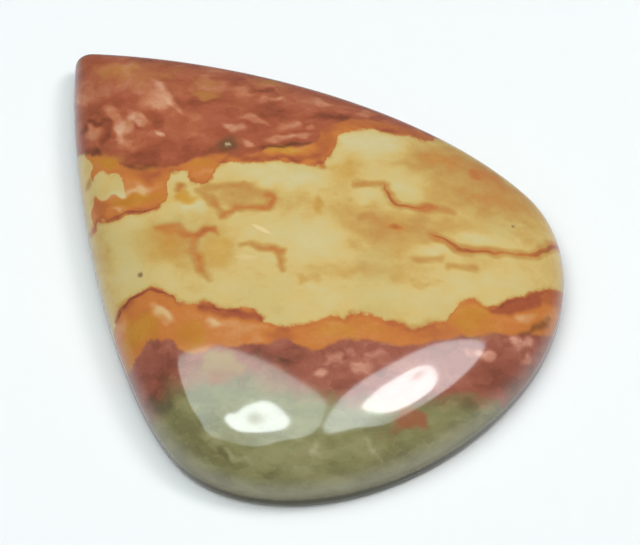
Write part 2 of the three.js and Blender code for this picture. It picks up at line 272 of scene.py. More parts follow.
# How light the shards of the breccias and the mottles of the olive layer are
SHARD_OVALS = (
    # light red
    (-7.6, 12.0, 1.7, 1.3, -40, 0.26), (-7.0, 11.3, 1.3, 1.1, 0, 0.14),
    (-5.9, 10.6, 1.0, 0.32, -50, 0.18), (-7.1, 12.9, 0.9, 0.4, -35, 0.12),
    (-3.4, 12.9, 1.3, 1.1, 0, 0.24), (-12.2, 9.2, 0.6, 0.8, 0, 0.3), (-0.9, 12.3, 0.9, 0.6, 0, 0.16),
    (-5.6, 9.2, 0.9, 0.8, 0, 0.14), (-8.9, 8.1, 1.0, 0.7, 0, 0.16), (2.4, 8.5, 0.8, 0.5, 20, 0.18),
    (-11.0, 13.6, 2.8, 1.6, 5, 0.21), (-2.0, 9.0, 0.9, 0.5, 0, 0.08), (-9.8, 14.5, 0.5, 1.1, 0, 0.16),
    (-4.0, 14.3, 1.6, 1.0, 0, 0.1), (3.4, 10.9, 1.5, 1.1, 0, 0.08), (1.2, 13.0, 0.9, 0.4, -15, 0.08),
    (-3.6, 8.0, 1.6, 0.8, 0, 0.08), (-13.0, 12.6, 0.9, 1.0, 0, 0.1), (-8.8, 7.2, 1.0, 0.4, -10, 0.14),
    (-4.6, 9.7, 0.8, 0.35, -30, 0.12), (4.0, 14.0, 1.5, 0.5, -20, 0.08),
    # pale shards in the red
    (-10.5, 10.0, 1.4, 0.5, -60, 0.3), (-9.6, 9.3, 0.7, 0.9, 0, 0.3), (-8.6, 9.6, 1.1, 0.35, -42, 0.34),
    (-6.9, 8.1, 0.55, 0.25, -40, 0.44), (-1.45, 8.35, 0.6, 0.4, -8, 0.5),
    (0.0, 9.2, 1.1, 0.34, -25, 0.36), (-0.2, 6.8, 0.4, 0.28, -10, 0.32),
    (2.0, 7.2, 0.9, 0.34, 12, 0.36), (3.7, 7.6, 0.9, 0.34, 14, 0.4), (1.0, 11.5, 1.0, 0.3, 18, 0.24),
    (8.0, 10.5, 0.8, 0.3, 20, 0.24), (-9.8, 8.2, 0.4, 0.6, 0, 0.2), (4.1, 8.7, 0.45, 0.3, 40, 0.26),
    (2.9, 8.7, 0.4, 0.3, 30, 0.16), (4.9, 11.4, 0.8, 0.3, -10, 0.16),
    # dark seams in the red
    (-6.1, 12.1, 1.9, 0.32, -62, -0.12), (-12.6, 7.5, 1.1, 0.4, -25, -0.16),
    (5.4, 9.7, 1.4, 0.5, 10, -0.18), (0.3, 12.5, 1.2, 0.3, -20, -0.14),
    (-8.1, 5.4, 1.4, 0.35, 0, -0.16), (-13.2, 9.6, 0.35, 0.9, 0, -0.2),
    (-11.7, 10.0, 0.9, 0.3, -35, -0.2), (-11.2, 8.4, 0.35, 0.9, -20, -0.14),
    (-7.2, 6.8, 2.2, 0.9, 0, -0.1), (-2.2, 13.8, 1.4, 0.6, -20, -0.14),
    (1.0, 10.1, 1.6, 0.6, -10, -0.1), (-8.3, 8.8, 0.6, 0.3, -40, -0.12),
    (-4.0, 11.0, 1.2, 0.3, 0, -0.08), (-10.5, 11.6, 1.2, 0.5, 0, -0.08),
    # pale shards and dark places in the brick red
    (16.3, -10.6, 0.6, 0.45, 0, 0.38), (5.1, -12.4, 0.6, 0.35, 0, 0.36), (5.8, -11.5, 0.4, 0.4, 0, 0.3),
    (7.7, -12.1, 0.8, 0.4, -10, 0.26), (8.3, -11.4, 0.9, 0.4, 20, 0.14),
    (18.7, -9.2, 0.8, 0.35, 15, 0.34), (6.7, -11.0, 0.5, 0.4, 30, 0.28),
    (18.9, -10.3, 0.5, 0.3, 40, 0.24), (15.2, -10.5, 0.4, 0.3, 0, 0.2),
    (-6.8, -11.2, 1.6, 1.7, 0, -0.1), (2.0, -11.2, 2.2, 0.6, -5, -0.12),
    (17.4, -11.6, 2.2, 1.2, 35, -0.08), (-6.7, -13.9, 1.4, 0.9, 0, -0.2),
    # light and dark mottles in the olive
    (-2.9, -17.2, 0.8, 0.6, -20, 0.18), (-2.6, -17.9, 1.4, 0.25, -35, -0.2),
    (8.0, -17.9, 1.0, 0.22, -45, 0.22), (-1.3, -18.4, 0.8, 0.22, -25, 0.26),
    (6.4, -17.4, 1.2, 0.5, -35, 0.08), (14.9, -14.3, 0.6, 0.5, 0, -0.16),
    (3.0, -17.9, 2.2, 0.6, 0, 0.1), (12.6, -15.8, 1.2, 0.5, 20, 0.1),
    (-5.0, -16.2, 2.4, 1.5, -40, -0.09), (-1.6, -19.3, 2.6, 0.5, -20, -0.06),
    (2.0, -18.6, 2.6, 0.9, 5, 0.07),
)
# Islands of cream in the orange layers, below 0. An amount above 0 makes orange ones in the cream,
# which only the back has.
ISLAND_OVALS = (
    (-11.0, 4.1, 1.2, 1.2, -35, -1.0), (-10.0, 3.4, 0.8, 0.5, -35, -0.9), (-13.3, 6.2, 0.9, 1.9, 0, -1.3),
    (-13.1, 2.0, 0.9, 2.6, 0, -1.4), (-11.3, -7.0, 0.7, 1.3, 10, -0.6),
)
OVAL_BLUR = {"iron": 0.7, "ochre": 0.75, "shards": 0.45, "islands": 0.6}  # as a share of an oval's size
BASE_IRON, BASE_SHARDS = 0.32, 0.38
PATTERN_SEED = 5
# Soft waves move the placed things: how far, and the length of a wave
SPOT_SWIRL, SEAM_SWIRL = (0.22, 2.2), (0.1, 1.6)
SWIRL_WAVES, SWIRL_SPREAD = 8, (0.45, 1.6)  # how many, and how much shorter or longer they are
# The back has a picture of its own, strewn over it at random. Between these heights the front's
# picture takes over from it, and its cracks give way to the front's at one height.
FRONT_FROM, FRONT_FULL = 0.3, 1.3
BACK_CRACKS_UP_TO = 0.8
BACK_OVALS = 70
BACK_ALONG, BACK_ACROSS = (-15, 22), (-21, 17)
BACK_OVAL_LENGTH, BACK_OVAL_WIDTH, BACK_OVAL_TURN = (0.5, 2.6), (0.3, 1.0), 22
BACK_CRACKS = ((-9.0, -2.0), (1.5, 2.5), (9.0, -3.5), (14.0, 3.0))  # where they start
BACK_CRACK_STEPS, BACK_CRACK_WIDTH = (5, 9), (0.0, 0.12)
BACK_CRACK_STRIDE, BACK_CRACK_STRAY = (0.6, 1.3), 0.55  # along the bands, and across them
# Pits, dark inside: (along, across, radius, depth)
PITS = ((-1.7, 6.7, 0.75, 0.1), (-8.05, -4.0, 0.22, 0.03), (18.45, 0.2, 0.12, 0.02))
# Pale healed scratches: (along, across, half length, half width, turn in degrees, strength)
SCRATCHES = ((0.9, -1.0, 0.68, 0.16, -32, 0.9), (-0.2, -3.3, 0.7, 0.18, -5, 0.3))
SCRATCH_BLUR = 0.8  # as a share of a scratch's size


def linear(hex_colour):
    """An sRGB hex colour as linear red, green, blue and alpha."""
    parts = [int(hex_colour[i : i + 2], 16) / 255 for i in (0, 2, 4)]
    return (*[c / 12.92 if c <= 0.04045 else ((c + 0.055) / 1.055) ** 2.4 for c in parts], 1.0)


# --- the stone's mesh ----------------------------------------------------------------------------


def bezier(points, steps):
    """Points on a cubic Bezier curve, without its last one."""
    t = np.linspace(0, 1, steps, endpoint=False)[:, None]
    a, b, c, d = (np.array(p, float) for p in points)
    return (1 - t) ** 3 * a + 3 * (1 - t) ** 2 * t * b + 3 * (1 - t) * t**2 * c + t**3 * d


def side_curves(form, side, width, length):
    """One side's two Bezier curves, from the middle of the round end to the point's arc."""
    angle = math.radians(form["point_angle"])
    tip = np.array((POINT_X, length / 2 - POINT_RADIUS))
    meet = tip + POINT_RADIUS * np.array((side * math.cos(angle), math.sin(angle)))
    arrival = np.array((-side * math.sin(angle), math.cos(angle)))
    widest = np.array((side * width / 2, form["widest"]))
    foot = np.array((ROUND_END["x"], -length / 2))
    low = (foot, foot + (side * ROUND_END["reach"], 0), widest - (0, form["down"]), widest)
    high = (widest, widest + (0, form["up"]), meet - arrival * form["point_reach"], meet)
    return low, high


def stone_outline(width, length):
    """The closed outline as evenly spaced points, counter-clockwise from the round end's middle."""
    low_right, high_right = side_curves(RIGHT_SIDE, 1, width, length)
    low_left, high_left = side_curves(LEFT_SIDE, -1, width, length)
    turns = np.radians(
        np.linspace(RIGHT_SIDE["point_angle"], 180 - LEFT_SIDE["point_angle"], CURVE_STEPS, endpoint=False)
    )
    tip = np.array((POINT_X, length / 2 - POINT_RADIUS))
    arc = tip + POINT_RADIUS * np.stack((np.cos(turns), np.sin(turns)), axis=1)
    dense = np.vstack(
        (
            bezier(low_right, CURVE_STEPS),
            bezier(high_right, CURVE_STEPS),
            arc,
            bezier(high_left[::-1], CURVE_STEPS),
            bezier(low_left[::-1], CURVE_STEPS),
        )
    )
    closed = np.vstack((dense, dense[:1]))
    walked = np.concatenate(([0], np.cumsum(np.linalg.norm(np.diff(closed, axis=0), axis=1))))
    places = np.linspace(0, walked[-1], OUTLINE_POINTS, endpoint=False)
    return np.stack([np.interp(places, walked, closed[:, i]) for i in (0, 1)], axis=1)


def dome_angles(reach, rise):
    """Angles of the dome's rings, between even steps of turn and even steps up its section."""
    turns = np.linspace(0, math.pi / 2, 500)
    steps = np.hypot(reach * np.diff(np.cos(turns)), rise * np.diff(np.sin(turns)))
    walked = np.concatenate(([0], np.cumsum(steps)))
    shares = np.linspace(0, 1, DOME_RINGS + 1)[1:-1]
    even_length = np.interp(shares * walked[-1], walked, turns)
    return RING_EVENNESS * even_length + (1 - RING_EVENNESS) * shares * math.pi / 2


def blurred_round(values, spread):
    """Values round the outline, blurred over so many points."""
    pitches = 2 * math.pi * np.fft.rfftfreq(len(values))
    return np.fft.irfft(np.fft.rfft(values) * np.exp(-0.5 * (pitches * spread) ** 2), len(values))


def stone_rings(sizes):
    """Rings of points from the back's middle, round the worn edges and up the dome, in millimetres."""
    width, length, height, girdle_top, chamfer = sizes
    outline = stone_outline(width, length)
    along = np.roll(outline, -1, axis=0) - np.roll(outline, 1, axis=0)
    along /= np.linalg.norm(along, axis=1, keepdims=True)
    inwards = np.stack((-along[:, 1], along[:, 0]), axis=1)
    round_trip = np.linspace(0, 2 * math.pi, OUTLINE_POINTS, endpoint=False)
    waves = (height * np.sin(count * round_trip + phase) for height, count, phase in CHAMFER_WAVES)
    waver = sum(waves, 0.5)
    ground = chamfer * (1 - CHAMFER_WAVER * waver)[:, None]

    def ring(points, at_height):
        heights = np.broadcast_to(at_height, (OUTLINE_POINTS,))
        return np.column_stack((points, heights))

    back_edge = outline + inwards * ground * WORN_EDGES[0][0]
    rings = [ring(CROWN + (back_edge - CROWN) * share, 0.0) for share in BACK_RINGS]
    for inset, rise in WORN_EDGES:
        rings.append(ring(outline + inwards * ground * inset, (ground * rise)[:, 0]))
    wall_foot = chamfer * WORN_EDGES[-1][1]
    for share in GIRDLE_RINGS:
        rings.append(ring(outline, wall_foot + (girdle_top - wall_foot) * share))
    spokes = outline - CROWN
    to_outline = np.linalg.norm(spokes, axis=1, keepdims=True)
    towards = spokes / to_outline
    to_ellipse = 1 / np.hypot(towards[:, :1] / (CROWN_WIDTH / 2), towards[:, 1:] / (CROWN_LENGTH / 2))
    for angle in dome_angles(length / DOME_SPAN, height - girdle_top):
        level = math.cos(angle)
        like_outline = 1 - (1 - level) ** ROUNDING
        rounded = blurred_round(to_outline[:, 0], RIDGE_BLUR * (1 - level))[:, None]
        reach = level * (to_ellipse + (rounded - to_ellipse) * like_outline)
        rise = girdle_top + (height - girdle_top) * math.sin(angle)
        rings.append(ring(CROWN + towards * reach, rise))
    return rings


def bedding_axes():
    """The directions along the bands, across them and up, scaled so that a place gives millimetres."""
    slant = math.radians(BAND_SLANT)
    return np.array(
        (
            (math.cos(slant), math.sin(slant), LEAN_ALONG),
            (-math.sin(slant), math.cos(slant), LEAN_ACROSS),
            (0, 0, 1),
        )
    )


def swirled(places, reach, length, draw):
    """Places moved about by soft waves, so that nothing placed by them stays a true oval."""
    moved = places.copy()
    for axis in (0, 1):
        for _ in range(SWIRL_WAVES):
            heading, phase = draw.uniform(0, 2 * math.pi), draw.uniform(0, 2 * math.pi)
            pitch = 2 * math.pi / (length * draw.uniform(*SWIRL_SPREAD))
            run = places[:, 0] * math.cos(heading) + places[:, 1] * math.sin(heading)
            moved[:, axis] += reach / math.sqrt(SWIRL_WAVES) * np.sin(pitch * run + phase)
    return moved


def oval_field(places, ovals, blur):
    """The sum of ovals whose edges fall off over the blur, as a share of their size."""
    total = np.zeros(len(places))
    for along, across, half_length, half_width, turn, amount in ovals:
        turned = math.radians(turn)
        x, y = places[:, 0] - along, places[:, 1] - across
        long = (x * math.cos(turned) + y * math.sin(turned)) / half_length
        wide = (y * math.cos(turned) - x * math.sin(turned)) / half_width
        inside = ((1 + blur - np.hypot(long, wide)) / (2 * blur)).clip(0, 1)
        total += amount * inside**2 * (3 - 2 * inside)
    return total


def beside_stretch(places, start, end):
    """How far each place lies from a stretch of a path, on which side, and where along it comes closest."""
    run = np.subtract(end[:2], start[:2])
    gone = places - start[:2]
    share = gone @ run / (run @ run)
    held = share.clip(0, 1)
    distance = np.linalg.norm(gone - held[:, None] * run, axis=1)
    side = np.where(run[0] * gone[:, 1] - run[1] * gone[:, 0] > 0, 1, -1)
    past_end = abs(share - held) * np.linalg.norm(run)
    return distance, side, held, past_end


def crack_fields(places, cracks):
    """For each place, how far it lies to the left of the nearest crack, and half that crack's width.

    The width shrinks below 0 away from the crack, so that no false crack runs where two come close.
    """
    nearest = np.full(len(places), NO_CRACK)
    offset, width = nearest.copy(), -nearest
    for crack in cracks:
        for start, end in zip(crack, crack[1:]):
            distance, side, held, past_end = beside_stretch(places, start, end)
            half = start[2] + held * (end[2] - start[2]) - past_end
            closer = (distance < nearest) & (distance < CRACK_REACH)
            nearest[closer] = distance[closer]
            offset[closer] = (distance * side)[closer]
            width[closer] = (half - CRACK_FADE * (distance - half - CRACK_SIDE).clip(0))[closer]
    return offset.clip(-CRACK_REACH, CRACK_REACH), width


def stroke_field(places, strokes, ground, blur):
    """How much several soft strokes add to a field, so that it reaches each stroke's level."""
    added = np.zeros(len(places))
    for level, *path in strokes:
        inside = np.zeros(len(places))
        for start, end in zip(path, path[1:]):
            distance, _, held, _ = beside_stretch(places, start, end)
            half = start[2] + held * (end[2] - start[2])
            inside = np.maximum(inside, (0.5 + (half - distance) / blur).clip(0, 1))
        added = np.maximum(added, (level - ground).clip(0) * inside**2 * (3 - 2 * inside))
    return added


def pit_field(places, pit):
    """1 in the middle of a pit, 0 at its edge and below 0 outside."""
    return 1 - np.hypot(*(places - pit[:2]).T) / pit[2]


def pit_depths(points):
    """How deep the pits go at each point: a bowl half as wide as the dark stone round it."""
    places = (points @ bedding_axes().T)[:, :2]
    bowls = [(2 * pit_field(places, pit) - 1).clip(0) for pit in PITS]
    return sum(pit[3] * bowl * (2 - bowl) for pit, bowl in zip(PITS, bowls))


def strewn_ovals(draw, amounts):
    """Ovals strewn over the back at random, drawn out along the bedding."""
    return [
        (
            draw.uniform(*BACK_ALONG),
            draw.uniform(*BACK_ACROSS),
            draw.uniform(*BACK_OVAL_LENGTH),
            draw.uniform(*BACK_OVAL_WIDTH),
            draw.gauss(0, BACK_OVAL_TURN),
            draw.uniform(*amounts),
        )
        for _ in range(BACK_OVALS)
    ]


def strewn_cracks(draw):
    """A few cracks across the back, each a walk of short steps."""
    cracks = []
    for along, across in BACK_CRACKS:
        crack = []
        for _ in range(draw.randint(*BACK_CRACK_STEPS)):
            crack.append((along, across, draw.uniform(*BACK_CRACK_WIDTH)))
            along += draw.uniform(*BACK_CRACK_STRIDE)
            across += draw.gauss(0, BACK_CRACK_STRAY)
        cracks.append(crack)
    return cracks


def stone_fields(points):
    """What the stone holds at each point, by name."""
    places = points @ bedding_axes().T
    raised = ((places[:, 2] - FRONT_FROM) / (FRONT_FULL - FRONT_FROM)).clip(0, 1)
    front = raised**2 * (3 - 2 * raised)
    draw = random.Random(PATTERN_SEED)
    spots = swirled(places[:, :2], *SPOT_SWIRL, draw)
    seams = swirled(places[:, :2], *SEAM_SWIRL, draw)
    fields = {}
    for name, ovals, amounts in (
        ("iron", IRON_OVALS, (-0.25, 0.35)),
        ("ochre", OCHRE_OVALS, (-0.5, 0.9)),
        ("shards", SHARD_OVALS, (-0.3, 0.4)),
        ("islands", ISLAND_OVALS, (-0.6, 0.6)),
    ):
        placed = oval_field(spots, ovals, OVAL_BLUR[name])
        strewn = oval_field(spots, strewn_ovals(draw, amounts), OVAL_BLUR[name])
        fields[name] = placed * front + strewn * (1 - front)
    offset, width = crack_fields(seams, CRACKS)
    back_offset, back_width = crack_fields(seams, strewn_cracks(draw))
    near_back = places[:, 2] < BACK_CRACKS_UP_TO
    fields["crack_offset"] = np.where(near_back, back_offset, offset)
    fields["crack_width"] = np.where(near_back, back_width, width)
    fields["iron"] += BASE_IRON
    fields["iron"] += stroke_field(seams, STAINS, fields["iron"], STAIN_BLUR) * front
    fields["dark_seams"] = stroke_field(seams, DARK_SEAMS, np.zeros(len(points)), SEAM_BLUR) * front
    fields["shards"] += BASE_SHARDS
    pits = np.max([pit_field(places[:, :2], pit) for pit in PITS], axis=0)
    fields["pits"] = np.where(near_back, -1, pits.clip(-1))
    return fields


def stone_mesh(name, sizes):
    """The whole stone as one closed mesh with smooth faces."""
    rings = stone_rings(sizes)
    points = np.vstack(([[*CROWN, 0]], *rings, [[*CROWN, sizes[2]]]))
    draw = random.Random(POLISH_SEED)
    wave = np.zeros(len(points))
    for _ in range(POLISH_WAVES):
        heading = draw.uniform(0, 2 * math.pi)
        pitch = 2 * math.pi / (POLISH_WAVE_LENGTH * draw.uniform(*POLISH_WAVE_SPREAD))
        phase = draw.uniform(0, 2 * math.pi)
        walk = points[:, 0] * math.cos(heading) + points[:, 1] * math.sin(heading)
        wave += np.sin(pitch * walk + phase) / POLISH_WAVES
    dome = (points[:, 2] - sizes[3]).clip(0) / (sizes[2] - sizes[3])
    fields = stone_fields(points)
    points[:, 2] -= POLISH_WAVE * (1 + wave) * np.minimum(1, dome / POLISH_WAVE_RISE)
    points[:, 2] -= pit_depths(points) * (points[:, 2] > sizes[3])
    count = OUTLINE_POINTS
    here = np.arange(count)
    there = (here + 1) % count
    top = len(points) - 1
    faces = [(0, 1 + j, 1 + i) for i, j in zip(here, there)]
    for ring in range(len(rings) - 1):
        low, high = 1 + ring * count, 1 + (ring + 1) * count
        faces += [(low + i, low + j, high + j, high + i) for i, j in zip(here, there)]
    last = 1 + (len(rings) - 1) * count
    faces += [(last + i, last + j, top) for i, j in zip(here, there)]
    mesh = bpy.data.meshes.new(name)
    mesh.from_pydata((points * MM).tolist(), [], [tuple(map(int, face)) for face in faces])
    mesh.polygons.foreach_set("use_smooth", [True] * len(mesh.polygons))
    for field, values in fields.items():
        mesh.attributes.new(field, "FLOAT", "POINT").data.foreach_set("value", values)
    mesh.update()
    return mesh


# --- materials -----------------------------------------------------------------------------------


NODE_GAP = (220, -320)  # between the nodes in the editor
NODES_IN_ROW = 30
EASED = {"interpolation_type": "SMOOTHSTEP"}  # makes a Map Range start and end softly
LAID_OVER = {"data_type": "RGBA"}  # makes a Mix lay its second colour over its first


def add(tree, kind, inputs=(), **settings):
    """Adds a node with its settings and fills its inputs, given in their order or as {name: value}.

    A value that is a node stands for that node's first output.
    """
    made = tree.nodes.new("ShaderNode" + kind)
    row, column = divmod(len(tree.nodes), NODES_IN_ROW)
    made.location = (NODE_GAP[0] * column, NODE_GAP[1] * row)
    for setting, value in settings.items():
        setattr(made, setting, value)
    if isinstance(inputs, dict):
        filled = [(made.inputs[name], value) for name, value in inputs.items()]
    else:
        filled = zip([socket for socket in made.inputs if socket.enabled], inputs)
    for socket, value in filled:
        if isinstance(value, bpy.types.Node):
            value = next(output for output in value.outputs if output.enabled)
        if isinstance(value, bpy.types.NodeSocket):
            tree.links.new(value, socket)
        else:
            socket.default_value = value
    return made


def height_over(tree, run, rise, border):
    """How many millimetres a place lies above a border, across the bands."""
    curve = add(tree, "FloatCurve", {"Value": run})
    shape = [
        ((along - ALONG_FROM) / (ALONG_TO - ALONG_FROM), (across - ACROSS_FROM) / (ACROSS_TO - ACROSS_FROM))
        for along, across in border
    ]
    points = curve.mapping.curves[0].points
    points[0].location, points[1].location = shape[0], shape[-1]
    for x, y in shape[1:-1]:
        points.new(x, y)
    curve.mapping.update()
    gap = add(tree, "Math", (rise, curve), operation="SUBTRACT")
    return add(tree, "Math", (gap, ACROSS_TO - ACROSS_FROM), operation="MULTIPLY")


def healed_scratches(tree, laid):
    """How strongly the healed scratches show at a place of the bedding."""
    outside, inside = (1 + SCRATCH_BLUR / 2) ** 2, (1 - SCRATCH_BLUR / 2) ** 2
    strongest = 0.0
    for along, across, half_length, half_width, turn, strength in SCRATCHES:
        turned = math.radians(turn)
        length_way = (math.cos(turned) / half_length, math.sin(turned) / half_length, 0)
        width_way = (-math.sin(turned) / half_width, math.cos(turned) / half_width, 0)
        gone = add(tree, "VectorMath", (laid, (along, across, 0)), operation="SUBTRACT")
        long = add(tree, "VectorMath", (gone, length_way), operation="DOT_PRODUCT")
        wide = add(tree, "VectorMath", (gone, width_way), operation="DOT_PRODUCT")
        square = add(tree, "Math", (long, long), operation="MULTIPLY")
        square = add(tree, "Math", (wide, wide, square), operation="MULTIPLY_ADD")
        mask = add(tree, "MapRange", (square, outside, inside, 0.0, strength), **EASED)
        strongest = add(tree, "Math", (mask, strongest), operation="MAXIMUM")
    return strongest


def layer_colour(tree, value, stops, main, chosen):
    """A layer's colour over (place, hex colour) stops, tinted by the chosen colour over the main one."""
    ramp = add(tree, "ValToRGB", (value,))
    elements = ramp.color_ramp.elements
    tint = [wanted / usual for wanted, usual in zip(chosen, linear(main))]
    for i, (place, colour) in enumerate(stops):
        element = elements[i] if i < 2 else elements.new(place)
        element.position = place
        element.color = [part * share for part, share in zip(linear(colour), (*tint, 1.0))]
    return ramp


# The main colour of each layer, and the shades it runs through: by iron, from pale to dark
CREAM, ORANGE, OCHRE, RED, BRICK, OLIVE = "d5b874", "c07139", "c07d2d", "b46747", "9e5b49", "8a8659"
CREAM_SHADES = (
    (0.0, "d5c798"), (0.16, "d3c086"), (0.32, "d5b874"), (0.46, "cba55d"), (0.62, "c19250"),
    (0.74, "c37c41"), (0.88, "b4693a"), (1.0, "8a4c2e"),
)
ORANGE_SHADES = (
    (0.0, "dab27d"), (0.14, "d1915b"), (0.3, "c97b3c"), (0.46, "c07139"), (0.62, "b16238"),
    (0.78, "a15336"), (1.0, "794030"),
)
OCHRE_SHADES = ((0.0, "d9b26a"), (0.2, "c88d39"), (0.36, "c07d2d"), (0.6, "b36d30"), (1.0, "7d482a"))
# These by the lightness of the shards, from dark to pale
RED_SHADES = (
    (0.05, "6f3c26"), (0.22, "904b31"), (0.38, "a85a3c"), (0.5, "b46747"), (0.62, "c27a56"),
    (0.76, "cf9270"), (0.95, "dfae8e"),
)
BRICK_SHADES = (
    (0.05, "6a3f30"), (0.24, "894d3b"), (0.4, "9e5b49"), (0.54, "ad6c57"), (0.7, "c4866f"),
    (0.9, "dba68c"),
)
OLIVE_SHADES = (
    (0.05, "645f45"), (0.24, "79744c"), (0.4, "8a8659"), (0.54, "969166"), (0.7, "a9a47c"),
    (0.9, "c0bb99"),
)
# What tints a layer in places, and what lies over all of them
GREYED_CREAM, GOLDEN_CREAM, DRIFTED_RED = "c4b87c", "d2a03c", "9c4f3a"
OCHRE_IN_RED, OCHRE_IN_BRICK, RUST_IN_OLIVE = "b57a3e", "a58a4a", "a0563c"
# The pit grains' colour is a painted glint.
DARK_SEAM, PIT_WALL, PIT_GLINT, HEALED_SCRATCH = "573b22", "66492f", "b0a377", "e6cd97"
# The girdle's colour is painted dark shade, like a contact shadow.
# The shoulder's colour is painted shade with a painted grey reflection of the surround.
SHOULDER_SHADE_AND_REFLECTION, GIRDLE_SHADE = "8b887c", "3a352b"
QUARTZ_IOR = 1.54


def jasper_material(look):
    """Picture jasper: opaque banded quartz, so its colours are sharp and lie right under the gloss.

    The dome's polish mirrors the lamps, the ground girdle is duller and the lapped back is satin.
    """
    material = bpy.data.materials.new("Picture jasper, dome polished and back lapped")
    material.use_nodes = True
    tree = material.node_tree
    tree.nodes.clear()

    # Bedding coordinates in millimetres: along the bands, across them and up
    place = add(tree, "TexCoord").outputs["Object"]
    along, across, up = [
        add(tree, "VectorMath", (place, axis / MM), operation="DOT_PRODUCT") for axis in bedding_axes()
    ]
    bedding = add(tree, "CombineXYZ", (along, across, up))

    # Near the back the bands wander off, so that the back has a picture of its own
    wander = add(tree, "TexNoise", {"Vector": bedding, "Scale": 0.11, "Detail": 1.0}).outputs["Color"]
    wander = add(tree, "VectorMath", (wander, (0.5, 0.5, 0.5)), operation="SUBTRACT")
    buried = add(tree, "MapRange", (up, 1.2, 0.0, 0.0, 7.0), **EASED)
    wander = add(tree, "VectorMath", (wander, buried), operation="SCALE")
    laid = add(tree, "VectorMath", (bedding, wander), operation="ADD")

    # Features of 1 mm down to 0.05 mm tear the borders
    tear = {"Vector": laid, "Scale": 0.95, "Detail": 5.0, "Roughness": 0.6}
    tear = add(tree, "TexNoise", tear).outputs["Color"]
    tear = add(tree, "VectorMath", (tear, (0.5, 0.5, 0.5)), operation="SUBTRACT")
    torn = add(tree, "VectorMath", (tear, (1.2, 1.0, 1.0), laid), operation="MULTIPLY_ADD")
    sideways = add(tree, "SeparateXYZ", (tear,)).outputs
    torn_along, torn_across, _ = add(tree, "SeparateXYZ", (torn,)).outputs
    run = add(tree, "MapRange", (torn_along, ALONG_FROM, ALONG_TO))
    rise = add(tree, "MapRange", (torn_across, ACROSS_FROM, ACROSS_TO))

    # Clouds of 2 mm drawn out along the bedding, a grain of 0.3 mm, and a slow drift of hue over 5 mm
    drawn = add(tree, "VectorMath", (laid, (0.6, 1.0, 0.8)), operation="MULTIPLY")
    clouds = {"Vector": drawn, "Scale": 0.5, "Detail": 5.0, "Roughness": 0.52, "Distortion": 0.4}
    clouds = add(tree, "TexNoise", clouds)
    grain = add(tree, "TexNoise", {"Vector": laid, "Scale": 3.0, "Detail": 3.0, "Roughness": 0.7})
    drift = add(tree, "TexNoise", {"Vector": torn, "Scale": 0.2, "Detail": 2.0})

    # Shards of 1 mm that slant down to the right, each with a lightness of its own
    slid = {"Vector": torn, "Rotation": (0, 0, math.radians(35)), "Scale": (0.75, 1.2, 1.0)}
    slid = add(tree, "Mapping", slid)
    murk = {"Vector": slid, "Scale": 0.55, "Detail": 4.0, "Roughness": 0.5, "Distortion": 0.4}
    murk = add(tree, "TexNoise", murk)
    shard = add(tree, "TexVoronoi", {"Vector": slid, "Scale": 1.15, "Randomness": 1.0})
    chance = add(tree, "SeparateColor", (shard.outputs["Color"],))

    # The same around zero, to add to other values
    cloudy, grainy, murky, chancy = [
        add(tree, "Math", (noise, 0.5), operation="SUBTRACT") for noise in (clouds, grain, murk, chance)
    ]
    iron, ochre, shards, islands, dark, pits, crack_offset, crack_width = [
        add(tree, "Attribute", attribute_name=field).outputs["Fac"]
        for field in (
            "iron", "ochre", "shards", "islands", "dark_seams", "pits", "crack_offset", "crack_width",
        )
    ]

    # The borders of the layers
    over_tongue, over_top, over_foot, over_red, over_brick, over_olive = [
        height_over(tree, run, rise, border)
        for border in (TONGUE_FOOT, CREAM_TOP, CREAM_FOOT, RED_FOOT, ORANGE_FOOT, BRICK_FOOT)
    ]
    under_foot = add(tree, "Math", (over_foot, -1.0), operation="MULTIPLY")
    into_orange = add(tree, "Math", (over_tongue, over_top), operation="MAXIMUM")
    into_orange = add(tree, "Math", (into_orange, under_foot), operation="MAXIMUM")
    held = add(tree, "MapRange", (into_orange, -0.6, 0.6, -0.6, 0.6))
    into_orange = add(tree, "Math", (islands, 1.15, held), operation="MULTIPLY_ADD")
    into_orange = add(tree, "Math", (grainy, 0.4, into_orange), operation="MULTIPLY_ADD")

    # Cracks: a dark core that comes and goes, and a stain beside it
    aside = add(tree, "Math", (sideways[1], 0.1, crack_offset), operation="MULTIPLY_ADD")
    aside = add(tree, "Math", (aside,), operation="ABSOLUTE")
    beside = add(tree, "Math", (aside, crack_width), operation="SUBTRACT")
    core = add(tree, "MapRange", (beside, 0.22, -0.06), **EASED)
    filled = add(tree, "MapRange", (clouds, 0.35, 0.52, 0.72, 0.9), **EASED)
    core = add(tree, "Math", (core, filled), operation="MULTIPLY")
    halo = add(tree, "MapRange", (beside, 1.1, -0.1), **EASED)

    # Iron: what the ovals hold, clouded and grained, with more of it in cracks and along borders
    rim = add(tree, "MapRange", (held, -0.5, 0.1), **EASED)
    for value, start, end in ((held, 0.55, 0.1), (murk, 0.35, 0.6)):
        share = add(tree, "MapRange", (value, start, end), **EASED)
        rim = add(tree, "Math", (rim, share), operation="MULTIPLY")
    for value, amount in ((cloudy, 0.45), (grainy, 0.14), (sideways[0], 0.18), (halo, 0.1), (rim, 0.22)):
        iron = add(tree, "Math", (value, amount, iron), operation="MULTIPLY_ADD")
    iron = add(tree, "Math", (iron, core), operation="MAXIMUM")
    for value, amount in ((murky, 0.6), (chancy, 0.13), (grainy, 0.14)):
        shards = add(tree, "Math", (value, amount, shards), operation="MULTIPLY_ADD")
    golden = add(tree, "Math", (sideways[2], 0.6, ochre), operation="MULTIPLY_ADD")
    golden = add(tree, "MapRange", (golden, 0.0, 1.3, 0.0, 0.75), **EASED)
    ochre = add(tree, "Math", (sideways[2], 1.4, ochre), operation="MULTIPLY_ADD")
    ochre = add(tree, "MapRange", (ochre, 0.1, 0.95), **EASED)
    drift = add(tree, "MapRange", (drift, 0.4, 0.62, 0.0, 0.3), **EASED)

